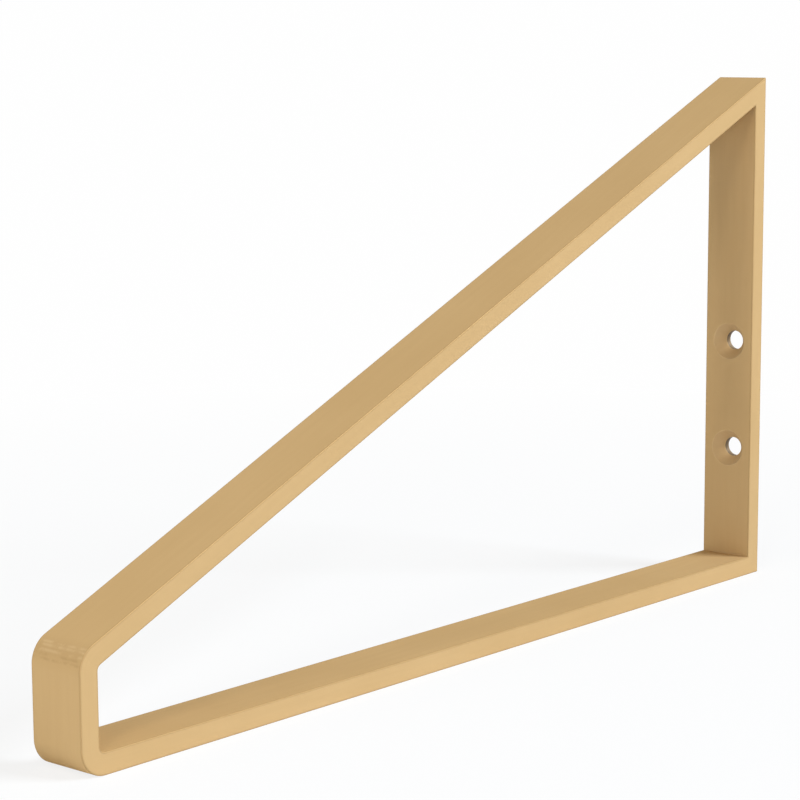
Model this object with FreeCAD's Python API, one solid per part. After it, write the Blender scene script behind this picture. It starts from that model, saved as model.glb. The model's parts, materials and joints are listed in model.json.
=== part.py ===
import FreeCAD, Part
import math
import os

# Gallows shelf bracket: a closed loop of flat bar, on edge, in millimetres.
#
# The wall leg stands against the wall, the arm runs out level from its foot, a short nose stands
# up at the arm's front end, and a diagonal climbs from the nose back to the top of the wall leg.
# The bar is bent round the two corners of the nose. Its ends are mitred and welded at the two
# corners of the wall leg, and dressed flush, so those stay sharp.
#
# X is across the bar, the wall face is the plane Y = 0 with the wall on its +Y side, and Z is up.
# The origin is on the wall face, midway between the two screws.

# Flat bar
bar_width = 15.0
bar_thickness = 5.0
edge_break = 0.2

# Loop, outside sizes to the sharp corners
reach = 255.0
height = 139.0
nose_height = 26.7
bend_inside_radius = 1.5

# Countersunk screws, in the wall leg
screw_spacing = 30.3
screw_pair_height = 50.6
screw_hole_diameter = 5.3
countersink_diameter = 10.0
countersink_angle = 75.0

# What follows from them
half_width = bar_width / 2
arm_underside = -screw_pair_height
front_of_nose = -reach
bend_outside_radius = bend_inside_radius + bar_thickness
diagonal_slope = math.atan2(height - nose_height, reach)
screw_heights = [-screw_spacing / 2, screw_spacing / 2]


def side_point(y, z):
    """A point on the side face that the loop is drawn on."""
    return FreeCAD.Vector(-half_width, y, z)


def diagonal_line(y, inset):
    """Height at y of the diagonal's outer face, moved into the bar by inset."""
    outer_face = arm_underside + nose_height + (y - front_of_nose) * math.tan(diagonal_slope)
    return outer_face - inset / math.cos(diagonal_slope)


def bend(before, corner, after, radius):
    """The arc that rounds a corner between two straight runs."""
    back = (before - corner).normalize()
    on = (after - corner).normalize()
    half_angle = back.getAngle(on) / 2
    setback = radius / math.tan(half_angle)
    middle = (back + on).normalize() * (radius / math.sin(half_angle) - radius)
    return Part.Arc(corner + back * setback, corner + middle, corner + on * setback)


def outline(inset):
    """The loop's outline as a closed wire, moved into the bar from the outside by inset."""
    foot = side_point(-inset, arm_underside + inset)
    top = side_point(-inset, diagonal_line(-inset, inset))
    nose_y = front_of_nose + inset
    nose_top = side_point(nose_y, diagonal_line(nose_y, inset))
    nose_foot = side_point(nose_y, arm_underside + inset)
    radius = bend_outside_radius - inset
    upper_bend = bend(top, nose_top, nose_foot, radius).toShape()
    lower_bend = bend(nose_top, nose_foot, foot, radius).toShape()
    upper_start, upper_end = [vertex.Point for vertex in upper_bend.Vertexes]
    lower_start, lower_end = [vertex.Point for vertex in lower_bend.Vertexes]
    return Part.Wire([
        Part.makeLine(foot, top),
        Part.makeLine(top, upper_start),
        upper_bend,
        Part.makeLine(upper_end, lower_start),
        lower_bend,
        Part.makeLine(lower_end, foot),
    ])


def plate(inset):
    """A solid plate as wide as the bar, with the outline at this inset."""
    return Part.Face(outline(inset)).extrude(FreeCAD.Vector(bar_width, 0, 0))


def is_side_edge(edge):
    """True for an edge of one of the two side faces."""
    return edge.BoundBox.XLength < edge_break / 2


def is_dressed_corner(edge):
    """True for the edge across the bar where a welded end meets the wall face."""
    return not is_side_edge(edge) and edge.BoundBox.YMin > -edge_break / 2


def bar_loop():
    """The closed loop of bar, with its long edges and the two outside weld corners eased."""
    sharp = plate(0).cut(plate(bar_thickness))
    eased = [edge for edge in sharp.Edges if is_side_edge(edge) or is_dressed_corner(edge)]
    return sharp.makeFillet(edge_break, eased)


def countersunk_hole(z):
    """The space of one screw: a clear hole through the wall leg and a cone from its inner face."""
    hole_radius = screw_hole_diameter / 2
    head_radius = countersink_diameter / 2
    cone_depth = (head_radius - hole_radius) / math.tan(math.radians(countersink_angle / 2))
    into_wall = FreeCAD.Vector(0, 1, 0)
    inner_face = FreeCAD.Vector(0, -bar_thickness, z)
    hole_start = FreeCAD.Vector(0, -2 * bar_thickness, z)
    hole = Part.makeCylinder(hole_radius, 3 * bar_thickness, hole_start, into_wall)
    cone = Part.makeCone(head_radius, hole_radius, cone_depth, inner_face, into_wall)
    return hole.fuse(cone)


def bracket():
    """The whole bracket, as one solid."""
    solid = bar_loop()
    for z in screw_heights:
        solid = solid.cut(countersunk_hole(z))
    return solid


def main():
    os.makedirs("parts", exist_ok=True)
    shape = bracket()
    shape.exportStep("parts/bracket.step")
    print("bracket", shape.ShapeType, shape.isValid(), round(shape.Volume), shape.BoundBox)


main()
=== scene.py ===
import json
import math

import bmesh
import bpy
from mathutils import Matrix, Vector


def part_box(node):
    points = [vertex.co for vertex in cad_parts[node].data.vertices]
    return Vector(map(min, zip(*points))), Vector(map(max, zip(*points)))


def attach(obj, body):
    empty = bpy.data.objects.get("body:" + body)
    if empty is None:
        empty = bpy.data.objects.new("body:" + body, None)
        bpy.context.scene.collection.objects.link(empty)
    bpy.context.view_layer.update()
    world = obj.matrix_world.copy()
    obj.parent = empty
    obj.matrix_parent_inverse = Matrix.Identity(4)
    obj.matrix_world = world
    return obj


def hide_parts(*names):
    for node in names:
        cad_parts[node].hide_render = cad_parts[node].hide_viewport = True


# Gallows shelf bracket in a satin brass finish, standing on a pale studio floor.
#
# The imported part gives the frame, the box, the screw holes and the arm's two faces. The bar is
# made again here as one clean mesh that runs round the loop, so that its brushed grain can follow
# the bar through the bends. All sizes are in metres, in the part's own frame: X across the bar,
# the wall face at Y = 0, Z up.

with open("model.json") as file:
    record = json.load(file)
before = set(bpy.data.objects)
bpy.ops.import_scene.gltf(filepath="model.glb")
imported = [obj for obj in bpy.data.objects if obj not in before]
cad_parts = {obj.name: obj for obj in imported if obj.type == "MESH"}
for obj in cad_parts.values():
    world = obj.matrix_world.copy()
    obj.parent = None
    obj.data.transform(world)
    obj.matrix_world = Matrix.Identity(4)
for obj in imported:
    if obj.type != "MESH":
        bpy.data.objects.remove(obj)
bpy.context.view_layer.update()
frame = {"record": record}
record = frame["record"]

MM = 0.001

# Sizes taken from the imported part
low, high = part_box("bracket")
bar_width = high[0] - low[0]
reach = -low[1]
arm_underside = low[2]
mounts = {mount["name"]: mount for mount in record["mounts"]}
arm_top = mounts["shelf_rest"]["pos_m"][2]
bar_thickness = arm_top - arm_underside
screw_dims = mounts["wall_screws"]["dims"]
hole_radius = screw_dims["hole_r_mm"] * MM
screw_spacing = screw_dims["spacing_y_mm"] * MM

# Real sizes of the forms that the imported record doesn't state
height = 139.0 * MM
nose_height = 26.7 * MM
bend_inside_radius = 1.5 * MM
edge_break = 0.2 * MM
countersink_radius = 5.0 * MM
countersink_slope = math.tan(math.radians(75.0 / 2))
rim_break = 0.12 * MM
hole_exit_break = 0.15 * MM

bend_outside_radius = bend_inside_radius + bar_thickness
half_width = bar_width / 2
countersink_depth = (countersink_radius - hole_radius) / countersink_slope
diagonal_slope = math.atan2(height - nose_height, reach)
screw_heights = [-screw_spacing / 2, screw_spacing / 2]

# How finely the bar is meshed
station_step = 8.0 * MM
bend_steps = 20
weld_steps = 4
edge_steps = 5
hole_steps = 72
merge_distance = 0.0005 * MM
sharp_angle = math.radians(35)

# Outward directions of the four legs' outer faces, as (y, z)
wall_side = Vector((1, 0))
diagonal_side = Vector((-math.sin(diagonal_slope), math.cos(diagonal_slope)))
nose_side = Vector((-1, 0))
arm_side = Vector((0, -1))


# The loop as a run of stations

def diagonal_height(y, inset):
    """Height at y of the diagonal's outer face, moved into the bar by inset."""
    outer = arm_underside + nose_height + (y + reach) * math.tan(diagonal_slope)
    return outer - inset / math.cos(diagonal_slope)


def top_corner(inset):
    return Vector((-inset, diagonal_height(-inset, inset)))


def nose_top_corner(inset):
    return Vector((-reach + inset, diagonal_height(-reach + inset, inset)))


def nose_foot_corner(inset):
    return Vector((-reach + inset, arm_underside + inset))


def foot_corner(inset):
    return Vector((-inset, arm_underside + inset))


def turned(start, end, share):
    """The unit vector a share of the way round from start to end."""
    angle = start.angle_signed(end)
    swing = -angle * share
    return Vector((
        start.x * math.cos(swing) - start.y * math.sin(swing),
        start.x * math.sin(swing) + start.y * math.cos(swing),
    ))


def bent_corner(corner, before, after):
    """Stations round a bend, as pairs of an outer and an inner point on one spoke."""
    centre = corner(bend_outside_radius)
    spokes = [turned(before, after, i / bend_steps) for i in range(bend_steps + 1)]
    return [(centre + n * bend_outside_radius, centre + n * bend_inside_radius) for n in spokes]


def welded_corner(corner, before, after):
    """Stations at a mitred corner: the outside is eased, the inside stays sharp."""
    centre = corner(edge_break)
    inside = corner(bar_thickness)
    spokes = [turned(before, after, i / weld_steps) for i in range(weld_steps + 1)]
    return [(centre + n * edge_break, inside) for n in spokes]


def straight_run(start, end):
    """Stations between two corners, about a station step apart."""
    count = max(1, round((end[0] - start[0]).length / station_step))
    shares = [i / count for i in range(1, count)]
    return [(start[0].lerp(end[0], s), start[1].lerp(end[1], s)) for s in shares]


def loop_stations():
    """All stations, from the foot of the wall leg up and round to the foot again."""
    foot = welded_corner(foot_corner, arm_side, wall_side)
    corners = [
        foot,
        welded_corner(top_corner, wall_side, diagonal_side),
        bent_corner(nose_top_corner, diagonal_side, nose_side),
        bent_corner(nose_foot_corner, nose_side, arm_side),
        foot,
    ]
    stations = list(foot)
    for here, following in zip(corners, corners[1:]):
        stations += straight_run(here[-1], following[0])
        stations += following
    return stations[:-weld_steps]


def run_lengths(stations):
    """Distance along the middle of the bar to each station."""
    middles = [(outer + inner) / 2 for outer, inner in stations]
    lengths = [0.0]
    for here, following in zip(middles, middles[1:]):
        lengths.append(lengths[-1] + (following - here).length)
    return lengths


# The bar's section

def section_points():
    """The section's rim as (x, depth, girth): depth is into the bar from its outer face, and
    girth is the distance round the rim, measured as if its corners were sharp."""
    corners = [
        (half_width, 0.0, 0.0, -90),
        (half_width, bar_thickness, bar_thickness, 0),
        (-half_width, bar_thickness, bar_thickness + bar_width, 90),
        (-half_width, 0.0, 2 * bar_thickness + bar_width, 180),
    ]
    points = []
    for x, depth, girth, first_angle in corners:
        centre_x = x - math.copysign(edge_break, x)
        centre_depth = depth + (edge_break if depth == 0 else -edge_break)
        for i in range(edge_steps + 1):
            angle = math.radians(first_angle + 90 * i / edge_steps)
            along = (2 * i / edge_steps - 1) * edge_break
            points.append((
                centre_x + edge_break * math.cos(angle),
                centre_depth + edge_break * math.sin(angle),
                girth + along,
            ))
    return points


def bar_mesh():
    """The closed loop of bar, before drilling. The grain map has metres along the bar and round
    its section."""
    stations = loop_stations()
    lengths = run_lengths(stations)
    rim = section_points()
    full_girth = 2 * (bar_width + bar_thickness)
    mesh = bmesh.new()
    grain = mesh.loops.layers.uv.new("grain")
    rings = []
    for outer, inner in stations:
        ring = []
        for x, depth, girth in rim:
            y, z = outer.lerp(inner, depth / bar_thickness)
            ring.append(mesh.verts.new((x, y, z)))
        rings.append(ring)
    for i in range(len(rings) - 1):
        for j in range(len(rim)):
            k = (j + 1) % len(rim)
            face = mesh.faces.new((rings[i][j], rings[i][k], rings[i + 1][k], rings[i + 1][j]))
            girth_j = rim[j][2]
            girth_k = rim[k][2] if k else rim[0][2] + full_girth
            places = [
                (lengths[i], girth_j), (lengths[i], girth_k),
                (lengths[i + 1], girth_k), (lengths[i + 1], girth_j),
            ]
            for corner, place in zip(face.loops, places):
                corner[grain].uv = place
    bmesh.ops.remove_doubles(mesh, verts=mesh.verts, dist=merge_distance)
    bmesh.ops.recalc_face_normals(mesh, faces=mesh.faces)
    return mesh


# The screw holes

mapped_turn = 10.0 * MM


def hole_profile():
    """One hole's space as (radius, y), from before the countersink to behind the wall face."""
    inner_face = -bar_thickness
    clear = 1.0 * MM
    lip = rim_break / 2
    return [
        (0.0, inner_face - clear),
        (countersink_radius + rim_break, inner_face - clear),
        (countersink_radius + rim_break, inner_face),
        (countersink_radius + lip / 3, inner_face + lip / 3),
        (countersink_radius - rim_break * countersink_slope, inner_face + rim_break),
        (hole_radius + lip * countersink_slope, inner_face + countersink_depth - lip),
        (hole_radius, inner_face + countersink_depth + lip),
        (hole_radius, -hole_exit_break),
        (hole_radius + hole_exit_break, 0.0),
        (hole_radius + hole_exit_break, clear),
        (0.0, clear),
    ]


def drill_mesh():
    """Both holes' spaces as closed turned solids. The grain map runs round each hole."""
    mesh = bmesh.new()
    grain = mesh.loops.layers.uv.new("grain")
    profile = hole_profile()
    for z in screw_heights:
        rings = []
        for radius, y in profile:
            if radius == 0:
                rings.append([mesh.verts.new((0, y, z))] * hole_steps)
                continue
            turns = [2 * math.pi * i / hole_steps for i in range(hole_steps)]
            around = [(radius * math.cos(a), y, z + radius * math.sin(a)) for a in turns]
            rings.append([mesh.verts.new(place) for place in around])
        for i in range(len(rings) - 1):
            for j in range(hole_steps):
                k = (j + 1) % hole_steps
                corners = [rings[i][j], rings[i][k], rings[i + 1][k], rings[i + 1][j]]
                places = [(j, i), (j + 1, i), (j + 1, i + 1), (j, i + 1)]
                kept = [n for n in range(4) if corners[n] not in corners[:n]]
                face = mesh.faces.new([corners[n] for n in kept])
                for corner, n in zip(face.loops, kept):
                    turn, row = places[n]
                    corner[grain].uv = (turn / hole_steps * mapped_turn, sum(profile[row]))
    bmesh.ops.recalc_face_normals(mesh, faces=mesh.faces)
    return mesh


def mesh_object(name, mesh, materials):
    """A new object from a bmesh, with these materials."""
    data = bpy.data.meshes.new(name)
    mesh.to_mesh(data)
    mesh.free()
    for material in materials:
        data.materials.append(material)
    piece = bpy.data.objects.new(name, data)
    bpy.context.scene.collection.objects.link(piece)
    return piece


def drilled_bar(bar_finish, countersink_finish, bore_finish):
    """The finished bracket: the bar with its two countersunk holes, shaded for its edges."""
    finishes = [bar_finish, countersink_finish, bore_finish]
    bar = mesh_object("bracket_bar", bar_mesh(), finishes)
    drill = mesh_object("screw_drill", drill_mesh(), finishes)
    cone_end = countersink_depth - bar_thickness
    for face in drill.data.polygons:
        face.material_index = 2 if face.center.y > cone_end else 1
    cut = bar.modifiers.new("holes", "BOOLEAN")
    cut.operation = "DIFFERENCE"
    cut.solver = "EXACT"
    cut.object = drill
    drilled = bar.evaluated_get(bpy.context.evaluated_depsgraph_get())
    finished = bpy.data.meshes.new_from_object(drilled)
    bar.modifiers.clear()
    bar.data = finished
    bpy.data.objects.remove(drill)
    finished.shade_smooth()
    finished.set_sharp_from_angle(angle=sharp_angle)
    flat_faces = bar.modifiers.new("flat faces", "WEIGHTED_NORMAL")
    flat_faces.weight = 100
    flat_faces.keep_sharp = True
    return bar


# Shader helpers

def add_node(tree, kind, inputs=None, **settings):
    """A new node with some of its settings and unlinked inputs set."""
    node = tree.nodes.new(kind)
    for name, value in settings.items():
        setattr(node, name, value)
    for name, value in (inputs or {}).items():
        node.inputs[name].default_value = value
    return node


def add_math(tree, operation, first, second=0.0):
    """A math node on one or two values or sockets, and its output."""
    node = add_node(tree, "ShaderNodeMath", operation=operation)
    for socket, value in zip(node.inputs, (first, second)):
        if isinstance(value, bpy.types.NodeSocket):
            tree.links.new(value, socket)
        else:
            socket.default_value = value
    return node.outputs[0]


def add_range(tree, value, from_low, from_high, to_low, to_high):
    """A value brought from one range to another, held at its ends."""
    node = add_node(tree, "ShaderNodeMapRange")
    tree.links.new(value, node.inputs["Value"])
    for name, number in (("From Min", from_low), ("From Max", from_high)):
        node.inputs[name].default_value = number
    for name, number in (("To Min", to_low), ("To Max", to_high)):
        if isinstance(number, bpy.types.NodeSocket):
            tree.links.new(number, node.inputs[name])
        else:
            node.inputs[name].default_value = number
    return node.outputs["Result"]


def new_group(name, inputs, outputs):
    """An empty shader group with float inputs and outputs, and its two end nodes."""
    tree = bpy.data.node_groups.new(name, "ShaderNodeTree")
    for label, value in inputs.items():
        socket = tree.interface.new_socket(label, in_out="INPUT", socket_type="NodeSocketFloat")
        socket.default_value = value
    for label in outputs:
        tree.interface.new_socket(label, in_out="OUTPUT", socket_type="NodeSocketFloat")
    return tree, tree.nodes.new("NodeGroupInput"), tree.nodes.new("NodeGroupOutput")


def place_group(tree, group, inputs=None):
    """A group placed in a material with its own values."""
    node = tree.nodes.new("ShaderNodeGroup")
    node.node_tree = group
    for name, value in (inputs or {}).items():
        node.inputs[name].default_value = value
    return node


# Effects that the finishes share

def brushed_grain_group():
    """Fine scratches along the first direction of the grain map."""
    tree, given, result = new_group(
        "brushed_grain", {"Length Scale": 40.0, "Fineness": 3000.0}, ["Fine", "Coarse"])
    grain_map = add_node(tree, "ShaderNodeUVMap", uv_map="grain")
    for label, share in (("Fine", 1.0), ("Coarse", 0.22)):
        stretch = tree.nodes.new("ShaderNodeCombineXYZ")
        tree.links.new(given.outputs["Length Scale"], stretch.inputs["X"])
        across = add_math(tree, "MULTIPLY", given.outputs["Fineness"], share)
        tree.links.new(across, stretch.inputs["Y"])
        stretched = add_node(tree, "ShaderNodeVectorMath", operation="MULTIPLY")
        tree.links.new(grain_map.outputs["UV"], stretched.inputs[0])
        tree.links.new(stretch.outputs["Vector"], stretched.inputs[1])
        noise_values = {"Scale": 1.0, "Detail": 3.0, "Roughness": 0.6}
        streaks = add_node(tree, "ShaderNodeTexNoise", noise_values)
        tree.links.new(stretched.outputs["Vector"], streaks.inputs["Vector"])
        tree.links.new(streaks.outputs["Fac"], result.inputs[label])
    return tree


def tone_drift_group():
    """Slow and small patches of a little more or less colour, as on a plated finish."""
    tree, given, result = new_group(
        "tone_drift", {"Slow Scale": 22.0, "Patch Scale": 160.0}, ["Slow", "Patch"])
    place = tree.nodes.new("ShaderNodeTexCoord")
    for label, detail in (("Slow", 2.0), ("Patch", 4.0)):
        noise = add_node(tree, "ShaderNodeTexNoise", {"Detail": detail, "Roughness": 0.55})
        tree.links.new(place.outputs["Object"], noise.inputs["Vector"])
        tree.links.new(given.outputs[label + " Scale"], noise.inputs["Scale"])
        tree.links.new(noise.outputs["Fac"], result.inputs[label])
    return tree


def orange_peel_group():
    """The faint unevenness of the coat over the metal."""
    tree, given, result = new_group("clear_coat_peel", {"Scale": 900.0}, ["Height"])
    place = tree.nodes.new("ShaderNodeTexCoord")
    noise = add_node(tree, "ShaderNodeTexNoise", {"Detail": 2.0, "Roughness": 0.5})
    tree.links.new(place.outputs["Object"], noise.inputs["Vector"])
    tree.links.new(given.outputs["Scale"], noise.inputs["Scale"])
    tree.links.new(noise.outputs["Fac"], result.inputs["Height"])
    return tree


# Finishes

brass = (0.560, 0.375, 0.180, 1.0)
brass_deep = (0.505, 0.330, 0.150, 1.0)
# brass_edge is the colour of the painted shade along the long edges, and of the dark lines on the
# nose bend
brass_edge = (0.400, 0.255, 0.110, 1.0)
brass_rubbed = (0.640, 0.450, 0.245, 1.0)
# turned_pale_painted_light is painted light: a paler brass that lifts the shade falling in the
# countersinks
turned_pale_painted_light = (0.620, 0.435, 0.230, 1.0)
# The bore's two colours are painted shade: dark browns for the inside of the holes
bore_shade_brown = (0.190, 0.125, 0.060, 1.0)
bore_shadow = (0.120, 0.080, 0.040, 1.0)

# The shared groups' noises mostly stay between these two values
noise_low = 0.3
noise_high = 0.7

# A narrower stretch of the noise gives patches with a clearer edge
patch_low = 0.35
patch_high = 0.65
speck_low = 0.42
speck_high = 0.58
speck_scale = 420.0

brushed_rough_low = 0.47
brushed_rough_high = 0.59
rough_drift = 0.02

# The most that a second colour shows on the bar
deep_patch_share = 0.5
deep_streak_share = 0.35
# edge_share is painted shade on the eased edges, which takes down the highlight that the lamps put
# on them
edge_share = 0.7
# bend_share is painted shade over the upper nose bend, which takes down the highlight that the
# lamps put there
bend_share = 0.7
pale_mark_share = 0.5
dark_mark_share = 0.45

# Painted shade along the long edges: full up to the first distance from an edge, gone at the second
edge_shade_full = 0.15 * MM
edge_shade_end = 0.5 * MM

# Faint lines across the outside of the upper nose bend, as shares of the way round it
pale_marks = [0.24, 0.35, 0.50]
dark_marks = [0.62, 0.74]
bend_mark_full = 0.042 * MM
bend_mark_end = 0.315 * MM
bend_fade = 0.65

# Depths of the finish's own relief
scratch_depth = 0.02 * MM
coat_wave_depth = 0.02 * MM
cutter_ridge_depth = 0.03 * MM

# Marks that the cutter left in the holes
cutter_marks = {"Length Scale": 60.0, "Fineness": 4200.0}
turned_rough_low = 0.50
turned_rough_high = 0.62

# The sockets of a mix node that mixes colours
mix_factor = 0
mix_first = 6
mix_second = 7
mix_result = 2


def blend_colours(tree, factor, first, second):
    """A mix of two colours, each a value or a socket, and its output."""
    node = add_node(tree, "ShaderNodeMix", data_type="RGBA")
    tree.links.new(factor, node.inputs[mix_factor])
    for socket, value in ((node.inputs[mix_first], first), (node.inputs[mix_second], second)):
        if isinstance(value, bpy.types.NodeSocket):
            tree.links.new(value, socket)
        else:
            socket.default_value = value
    return node.outputs[mix_result]


def add_share(tree, noise, most, low=noise_low, high=noise_high):
    """A group's noise as the share of a second colour, from none of it to the most."""
    return add_range(tree, noise, low, high, 0.0, most)


def new_finish(name):
    """A material, its node tree and its surface shader."""
    material = bpy.data.materials.new(name)
    material.use_nodes = True
    tree = material.node_tree
    return material, tree, tree.nodes["Principled BSDF"]


def new_brass(name):
    """A brass-coloured satin finish: a little of the metal's shine, and mostly its even colour."""
    material, tree, surface = new_finish(name)
    surface.inputs["Metallic"].default_value = 0.18
    surface.inputs["Specular IOR Level"].default_value = 0.0
    surface.inputs["Specular Tint"].default_value = brass_rubbed
    return material, tree, surface


def edge_mask(tree):
    """One near the bar's four long edges, where the colour takes painted shade, and zero on its
    faces.
    """
    grain_map = add_node(tree, "ShaderNodeUVMap", uv_map="grain")
    parts = tree.nodes.new("ShaderNodeSeparateXYZ")
    tree.links.new(grain_map.outputs["UV"], parts.inputs["Vector"])
    half_girth = bar_width + bar_thickness
    folded = add_math(tree, "FLOORED_MODULO", parts.outputs["Y"], half_girth)
    past_side = add_math(tree, "SUBTRACT", folded, bar_thickness)
    from_middle_edge = add_math(tree, "ABSOLUTE", past_side)
    from_last_edge = add_math(tree, "SUBTRACT", half_girth, folded)
    nearest = add_math(tree, "MINIMUM", folded, from_middle_edge)
    nearest = add_math(tree, "MINIMUM", nearest, from_last_edge)
    return add_range(tree, nearest, edge_shade_full, edge_shade_end, 1.0, 0.0)


def bend_masks(tree):
    """Three masks for the outer face of the upper nose bend: the bend as a whole, which fades out
    at both its ends and carries painted shade over the bend's highlight, the pale lines across it,
    and the dark ones."""
    bend = bent_corner(nose_top_corner, diagonal_side, nose_side)
    stations = loop_stations()
    lengths = run_lengths(stations)
    start = min(range(len(stations)), key=lambda i: (stations[i][0] - bend[0][0]).length)
    bend_start, bend_end = lengths[start], lengths[start + bend_steps]
    grain_map = add_node(tree, "ShaderNodeUVMap", uv_map="grain")
    parts = tree.nodes.new("ShaderNodeSeparateXYZ")
    tree.links.new(grain_map.outputs["UV"], parts.inputs["Vector"])

    outer_face = add_math(tree, "GREATER_THAN", parts.outputs["Y"], 2 * bar_thickness + bar_width)

    def nearness(place, near, far):
        """One up to the near distance from a place along the bar, zero past the far one."""
        offset = add_math(tree, "SUBTRACT", parts.outputs["X"], place)
        distance = add_math(tree, "ABSOLUTE", offset)
        return add_range(tree, distance, near, far, 1.0, 0.0)

    def lines_across(shares):
        """One on the lines at these shares of the way round the bend."""
        lines = 0.0
        for share in shares:
            place = bend_start + (bend_end - bend_start) * share
            line = nearness(place, bend_mark_full, bend_mark_end)
            lines = add_math(tree, "MAXIMUM", line, lines)
        return add_math(tree, "MULTIPLY", lines, outer_face)

    middle = (bend_start + bend_end) / 2
    around = nearness(middle, 0.0, bend_fade * (bend_end - bend_start))
    whole = add_math(tree, "MULTIPLY", around, outer_face)
    return whole, lines_across(pale_marks), lines_across(dark_marks)


def satin_brass_finish(grain, drift, peel):
    """The bar's finish: brushed along the bar, brass coloured, with painted shade at its edges and
    over the upper nose bend, where faint pale and dark lines run across it."""
    material, tree, surface = new_brass("satin_brass")
    streaks = place_group(tree, grain)
    tone = place_group(tree, drift)
    coat = place_group(tree, peel)
    bend, pale_lines, dark_lines = bend_masks(tree)
    specks = place_group(tree, drift, {"Patch Scale": speck_scale})
    broken = add_share(tree, specks.outputs["Patch"], 1.0, speck_low, speck_high)
    gaps = add_math(tree, "SUBTRACT", 1.0, broken)
    pale_bits = add_math(tree, "MULTIPLY", pale_lines, broken)
    dark_bits = add_math(tree, "MULTIPLY", dark_lines, gaps)

    patches = add_share(tree, tone.outputs["Slow"], deep_patch_share, patch_low, patch_high)
    toned = blend_colours(tree, patches, brass, brass_deep)
    brushing = add_share(tree, streaks.outputs["Coarse"], deep_streak_share)
    colour = blend_colours(tree, brushing, toned, brass_deep)
    # The edge and bend masks paint shade: they darken the colour where the eased edges and the nose
    # bend catch the lamps' highlights
    for mask, most, second in (
        (edge_mask(tree), edge_share, brass_edge),
        (bend, bend_share, brass_deep),
        (pale_bits, pale_mark_share, brass_rubbed),
        (dark_bits, dark_mark_share, brass_edge),
    ):
        colour = blend_colours(tree, add_math(tree, "MULTIPLY", mask, most), colour, second)
    tree.links.new(colour, surface.inputs["Base Color"])

    rough = add_range(
        tree, streaks.outputs["Fine"], noise_low, noise_high, brushed_rough_low, brushed_rough_high)
    drifting = add_range(
        tree, tone.outputs["Patch"], noise_low, noise_high, -rough_drift, rough_drift)
    tree.links.new(add_math(tree, "ADD", rough, drifting), surface.inputs["Roughness"])

    scratches = add_node(tree, "ShaderNodeBump", {"Strength": 0.25, "Distance": scratch_depth})
    tree.links.new(streaks.outputs["Fine"], scratches.inputs["Height"])
    coated = add_node(tree, "ShaderNodeBump", {"Strength": 0.15, "Distance": coat_wave_depth})
    tree.links.new(coat.outputs["Height"], coated.inputs["Height"])
    tree.links.new(scratches.outputs["Normal"], coated.inputs["Normal"])
    tree.links.new(coated.outputs["Normal"], surface.inputs["Normal"])
    return material


def roughen_turned(tree, rings, surface):
    """The roughness of a turned face, which follows the cutter's marks."""
    rough = add_range(
        tree, rings.outputs["Fine"], noise_low, noise_high, turned_rough_low, turned_rough_high)
    tree.links.new(rough, surface.inputs["Roughness"])


def turned_brass_finish(grain, drift):
    """The countersinks' finish: a paler brass, painted lighter to lift the shade in the
    countersinks, with the cutter's rings under it.
    """
    material, tree, surface = new_brass("turned_brass")
    rings = place_group(tree, grain, cutter_marks)
    tone = place_group(tree, drift)
    cone_brass_patches = add_share(tree, tone.outputs["Patch"], 0.6, patch_low, patch_high)
    toned = blend_colours(tree, cone_brass_patches, turned_pale_painted_light, brass)
    ringed = blend_colours(tree, add_share(tree, rings.outputs["Coarse"], 0.25), toned, brass_deep)
    tree.links.new(ringed, surface.inputs["Base Color"])
    roughen_turned(tree, rings, surface)
    ridges = add_node(tree, "ShaderNodeBump", {"Strength": 0.4, "Distance": cutter_ridge_depth})
    tree.links.new(rings.outputs["Coarse"], ridges.inputs["Height"])
    tree.links.new(ridges.outputs["Normal"], surface.inputs["Normal"])
    return material


def shaded_bore_finish(grain, drift):
    """The plain bore behind each countersink, coloured dark brown as painted shade in the hole."""
    material, tree, surface = new_finish("dull_bore")
    surface.inputs["Metallic"].default_value = 0.3
    rings = place_group(tree, grain, cutter_marks)
    tone = place_group(tree, drift)
    ringing = add_share(tree, rings.outputs["Coarse"], 1.0)
    mottled = blend_colours(tree, ringing, bore_shade_brown, bore_shadow)
    bore_brass_patches = add_share(tree, tone.outputs["Patch"], 0.35, 0.45, 0.75)
    coated = blend_colours(tree, bore_brass_patches, mottled, brass_deep)
    tree.links.new(coated, surface.inputs["Base Color"])
    roughen_turned(tree, rings, surface)
    return material


# Studio

ambient_light = 0.12

# The floor takes the lamps' light, and so the bracket's shadow, in part up to the first distance
# from the loop's middle, and not at all past the second. A share of one would be all of its white.
shadow_near = 0.15
shadow_far = 0.45
shadow_share = 0.18
floor_light = 1.24
floor_white = 0.995
floor_grey = 0.8
floor_reach = 8.0

# Lamps as name, place, size across, power in watts and colour. All face the loop's middle.
cool = (0.92, 1.0, 1.10)
plain = (1.0, 1.0, 1.0)
warm = (1.06, 1.0, 0.86)
softboxes = [
    ("high_behind", (3.0, 1.5, 2.7), 1.8, 227.0, cool),
    ("near_front", (0.48, -1.28, 0.93), 0.4, 3.35, warm),
    ("near_steep", (0.5, -0.9, 1.4), 0.3, 2.7, warm),
    ("high_front", (0.0, -1.1, 0.9), 0.25, 2.25, warm),
    ("low_front", (0.0, -1.5, 0.04), 0.16, 4.1, cool),
    ("low_near_front", (0.6, -1.4, 0.05), 0.18, 2.0, cool),
    ("far_front", (-1.0, -0.9, 0.2), 0.5, 0.5, plain),
    ("far_side", (-1.2, 0.4, 0.2), 0.5, 3.2, warm),
]


def seen_directly(tree):
    """One for rays that show a surface or a reflection of it, zero for rays that carry light."""
    path = tree.nodes.new("ShaderNodeLightPath")
    seen = path.outputs["Is Camera Ray"]
    for kind in ("Is Glossy Ray", "Is Transmission Ray"):
        seen = add_math(tree, "MAXIMUM", seen, path.outputs[kind])
    return seen


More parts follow.
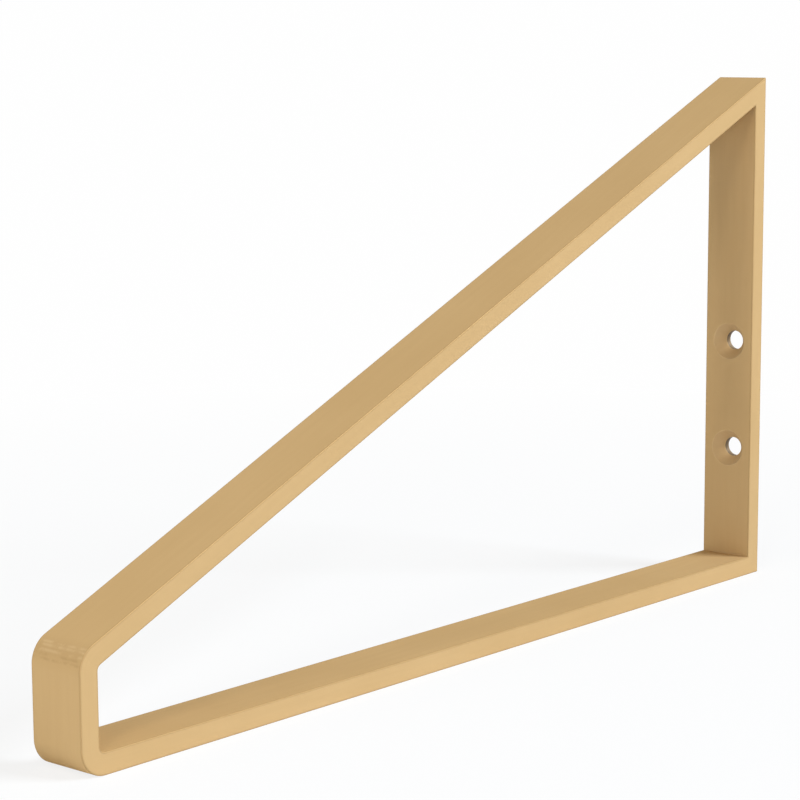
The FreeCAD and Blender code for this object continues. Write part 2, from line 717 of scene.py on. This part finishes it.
def floor_finish():
    """Pale floor that reads as white. Near the bracket part of that white is the light that falls
    on it, so the bracket's soft shadow stays, and further out it runs into the white beyond."""
    material, tree, surface = new_finish("pale_floor")
    surface.inputs["Roughness"].default_value = 0.9
    surface.inputs["Specular IOR Level"].default_value = 0.0
    surface.inputs["Emission Color"].default_value = (1.0, 1.0, 1.0, 1.0)
    place = tree.nodes.new("ShaderNodeTexCoord")
    distance = add_node(tree, "ShaderNodeVectorMath", operation="LENGTH")
    tree.links.new(place.outputs["Object"], distance.inputs[0])
    share = add_range(tree, distance.outputs["Value"], shadow_near, shadow_far, shadow_share, 0.0)
    seen = seen_directly(tree)
    white = add_math(tree, "SUBTRACT", floor_white, share)
    tree.links.new(add_math(tree, "MULTIPLY", seen, white), surface.inputs["Emission Strength"])
    taking_light = add_math(tree, "DIVIDE", share, floor_light)
    tone = add_range(tree, seen, 0.0, 1.0, floor_grey, taking_light)
    grey = tree.nodes.new("ShaderNodeCombineColor")
    for channel in ("Red", "Green", "Blue"):
        tree.links.new(tone, grey.inputs[channel])
    tree.links.new(grey.outputs["Color"], surface.inputs["Base Color"])
    return material


def build_floor():
    """A wide round floor under the arm."""
    mesh = bmesh.new()
    bmesh.ops.create_circle(mesh, cap_ends=True, segments=64, radius=floor_reach)
    floor = mesh_object("studio_floor", mesh, [floor_finish()])
    floor.location = (0.0, -reach / 2, arm_underside)


def build_world():
    """Even pale light all round, and white wherever it is seen."""
    world = bpy.data.worlds.new("studio_light")
    bpy.context.scene.world = world
    world.use_nodes = True
    tree = world.node_tree
    background = tree.nodes["Background"]
    background.inputs["Color"].default_value = (1.0, 1.0, 1.0, 1.0)
    strength = add_range(tree, seen_directly(tree), 0.0, 1.0, ambient_light, floor_white)
    tree.links.new(strength, background.inputs["Strength"])


def build_lights():
    """A broad light high on the near side, four in front of the nose, and weaker ones low down."""
    middle = Vector((0.0, -reach / 2, 0.0))
    for name, place, size, power, colour in softboxes:
        lamp = bpy.data.lights.new(name, "AREA")
        lamp.size = size
        lamp.energy = power
        lamp.color = colour
        holder = bpy.data.objects.new(name, lamp)
        bpy.context.scene.collection.objects.link(holder)
        holder.location = place
        holder.rotation_euler = (middle - Vector(place)).to_track_quat("-Z", "Y").to_euler()


# Camera, at the photograph's angle

view_azimuth = math.radians(40.856)
view_elevation = math.radians(8.730)
view_roll = math.radians(-0.272)
view_distance = 0.69675
view_target = Vector((-0.07682, -0.05712, -0.00276))
picture_width = 800
focal_length_pixels = 2439.85
sensor_width = 36.0


def build_camera():
    """The camera looks along the azimuth, tipped down by the elevation."""
    ahead = Vector((
        -math.sin(view_azimuth) * math.cos(view_elevation),
        math.cos(view_azimuth) * math.cos(view_elevation),
        -math.sin(view_elevation),
    ))
    level_right = Vector((math.cos(view_azimuth), math.sin(view_azimuth), 0.0))
    level_up = level_right.cross(ahead)
    right = level_right * math.cos(view_roll) + level_up * math.sin(view_roll)
    up = level_up * math.cos(view_roll) - level_right * math.sin(view_roll)
    lens = bpy.data.cameras.new("studio_camera")
    lens.sensor_width = sensor_width
    lens.lens = focal_length_pixels / picture_width * sensor_width
    lens.clip_start = 0.01
    camera = bpy.data.objects.new("studio_camera", lens)
    bpy.context.scene.collection.objects.link(camera)
    turn = Matrix((right, up, -ahead)).transposed()
    camera.matrix_world = Matrix.Translation(view_target - ahead * view_distance) @ turn.to_4x4()
    bpy.context.scene.camera = camera


def build_bracket():
    """The bracket's own piece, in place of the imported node."""
    grain = brushed_grain_group()
    drift = tone_drift_group()
    peel = orange_peel_group()
    bar = drilled_bar(
        satin_brass_finish(grain, drift, peel),
        turned_brass_finish(grain, drift),
        shaded_bore_finish(grain, drift),
    )
    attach(bar, "root")
    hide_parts("bracket")


build_bracket()
build_floor()
build_world()
build_lights()
build_camera()
bpy.context.scene.view_settings.view_transform = "Standard"
